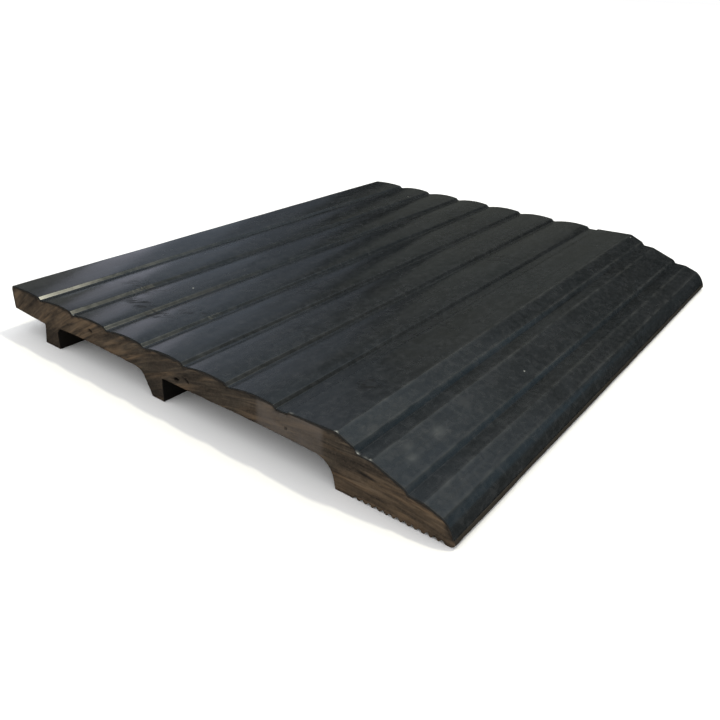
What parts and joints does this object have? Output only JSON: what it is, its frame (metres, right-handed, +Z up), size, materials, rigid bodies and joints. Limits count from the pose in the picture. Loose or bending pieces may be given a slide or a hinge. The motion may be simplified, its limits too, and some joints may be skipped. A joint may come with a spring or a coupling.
{
  "type": "threshold ramp",
  "caption": "Low threshold ramp cut from a solid extruded profile: crowned tread deck with overhanging lip, stepped slope, rounded nose, legs and toothed gripping foot.",
  "frame": {"origin": "on the floor under the centre of the ramp's bounding box", "axes": "+X towards the low nose that a wheel meets first, -X towards the overhanging lip; +Y along the extrusion; +Z up"},
  "size_m": [0.3, 0.361, 0.0288],
  "materials": {
    "core": "brown filled compound, matt, sawn across at both ends with arc marks, streaks and small pores",
    "wear_surface": "blue-black, semi-gloss as extruded, with scuffs and faint lengthwise lines"
  },
  "bodies": {
    "root": {"core_profile": "core", "wear_layer": "wear_surface"}
  },
  "joints": []
}
